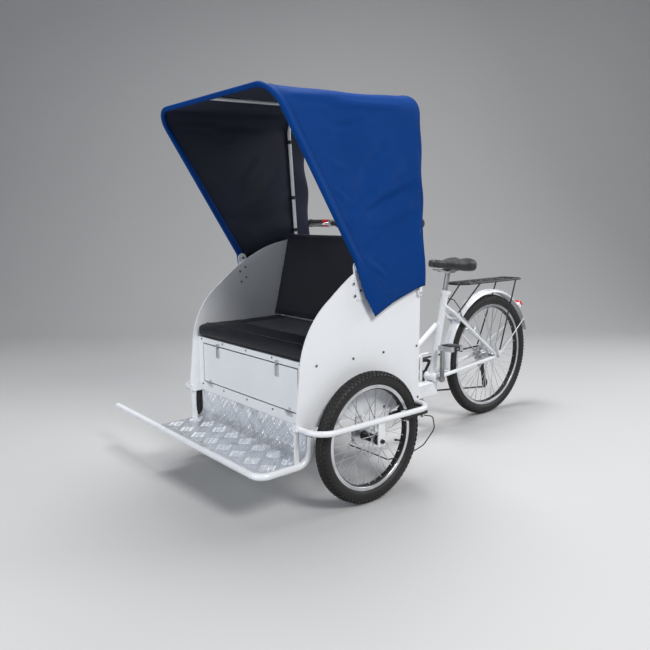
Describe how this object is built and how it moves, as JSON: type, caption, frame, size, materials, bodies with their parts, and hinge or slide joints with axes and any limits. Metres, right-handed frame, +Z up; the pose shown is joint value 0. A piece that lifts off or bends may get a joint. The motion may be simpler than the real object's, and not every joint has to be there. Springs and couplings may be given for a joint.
{
  "type": "front-loading cycle rickshaw",
  "caption": "Cycle rickshaw: steered passenger box with hood and bench on a front axle, pushed by a bicycle rear frame with saddle, cranks, chain and carrier.",
  "frame": {"origin": "bottom centre of the bounding box, on the ground", "axes": "+X towards the passenger box's footrest (forwards), +Y to the rider's left, +Z up"},
  "size_m": [2.164, 1.3624, 1.5719],
  "materials": {
    "white_paint": "gloss",
    "aluminium_plate": "patterned",
    "silver_alloy": "satin",
    "steel": "satin",
    "black_metal": "satin",
    "black_plastic": "matte",
    "white_plastic": "gloss",
    "tyre": "matte",
    "grip_rubber": "matte",
    "seat_vinyl": "satin",
    "blue_canvas": "matte",
    "red_lens": "gloss",
    "red_plastic": "satin",
    "wood_board": "matte"
  },
  "bodies": {
    "rear_frame_body": {"main_beam": "white_paint", "rear_frame": "white_paint", "seatpost": "silver_alloy", "seat_clamp": "silver_alloy", "saddle": "black_plastic", "saddle_rails": "steel", "axle_rear": "steel", "chain": "steel", "chain_guard": "black_metal", "rear_derailleur": "black_metal", "mudguard": "white_plastic", "lamp_housing": "white_plastic", "lamp_lens": "red_lens", "carrier": "black_metal", "rear_brake": "silver_alloy", "rear_brake_cable": "black_plastic"},
    "wheel_front_left_body": {"wheel_front_left": "silver_alloy", "tyre_front_left": "tyre"},
    "wheel_front_right_body": {"wheel_front_right": "silver_alloy", "tyre_front_right": "tyre"},
    "wheel_rear_body": {"wheel_rear": "silver_alloy", "tyre_rear": "tyre", "cassette": "steel"},
    "crank_body": {"crank_set": "silver_alloy"},
    "pedal_left_body": {"pedal_left": "silver_alloy"},
    "pedal_right_body": {"pedal_right": "silver_alloy"},
    "door_body": {"box_door": "white_paint", "door_fittings": "steel"},
    "carriage_body": {"axles_front": "steel", "back_board": "wood_board", "back_cushion": "seat_vinyl", "bow_bolts": "steel", "bow_tabs": "white_paint", "box_floor": "white_paint", "brake_levers": "silver_alloy", "canopy_bow_front": "white_paint", "canopy_bow_rear": "white_paint", "canopy_cover": "blue_canvas", "canopy_stay": "white_paint", "carriage_frame": "white_paint", "drum_brakes": "silver_alloy", "drum_cables": "black_plastic", "footrest_frame": "white_paint", "footrest_plate": "aluminium_plate", "front_wall": "white_paint", "grips": "grip_rubber", "guard_plates": "black_metal", "handlebar": "black_metal", "rear_wall": "white_paint", "rim_brakes": "black_plastic", "seat_board": "wood_board", "seat_cushion": "seat_vinyl", "side_panel_left": "white_paint", "side_panel_right": "white_paint", "twist_collar": "red_plastic", "wall_fittings": "steel", "wheel_guards": "white_paint"}
  },
  "joints": [
    {"name": "steering", "type": "hinge", "parent": "rear_frame_body", "child": "carriage_body", "pos_m": [0.54605, 0.16075, 0.3], "axis": [0, 0, 1], "range_deg": [-35, 35]},
    {"name": "wheel_left_spin", "type": "hinge", "parent": "carriage_body", "child": "wheel_front_left_body", "pos_m": [0.59605, 0.60075, 0.26], "axis": [0, 1, 0], "continuous": true},
    {"name": "wheel_right_spin", "type": "hinge", "parent": "carriage_body", "child": "wheel_front_right_body", "pos_m": [0.59605, -0.27925, 0.26], "axis": [0, 1, 0], "continuous": true},
    {"name": "door_hinge", "type": "hinge", "parent": "carriage_body", "child": "door_body", "pos_m": [0.87005, 0.16075, 0.379], "axis": [0, 1, 0], "range_deg": [0, 150]},
    {"name": "wheel_rear_spin", "type": "hinge", "parent": "rear_frame_body", "child": "wheel_rear_body", "pos_m": [-0.73395, 0.16075, 0.336], "axis": [0, 1, 0], "continuous": true},
    {"name": "crank_spin", "type": "hinge", "parent": "rear_frame_body", "child": "crank_body", "pos_m": [-0.26995, 0.16075, 0.28], "axis": [0, 1, 0], "continuous": true},
    {"name": "pedal_left_spin", "type": "hinge", "parent": "crank_body", "child": "pedal_left_body", "pos_m": [-0.26995, 0.28075, 0.45], "axis": [0, 1, 0], "continuous": true},
    {"name": "pedal_right_spin", "type": "hinge", "parent": "crank_body", "child": "pedal_right_body", "pos_m": [-0.26995, 0.04075, 0.11], "axis": [0, 1, 0], "continuous": true}
  ]
}
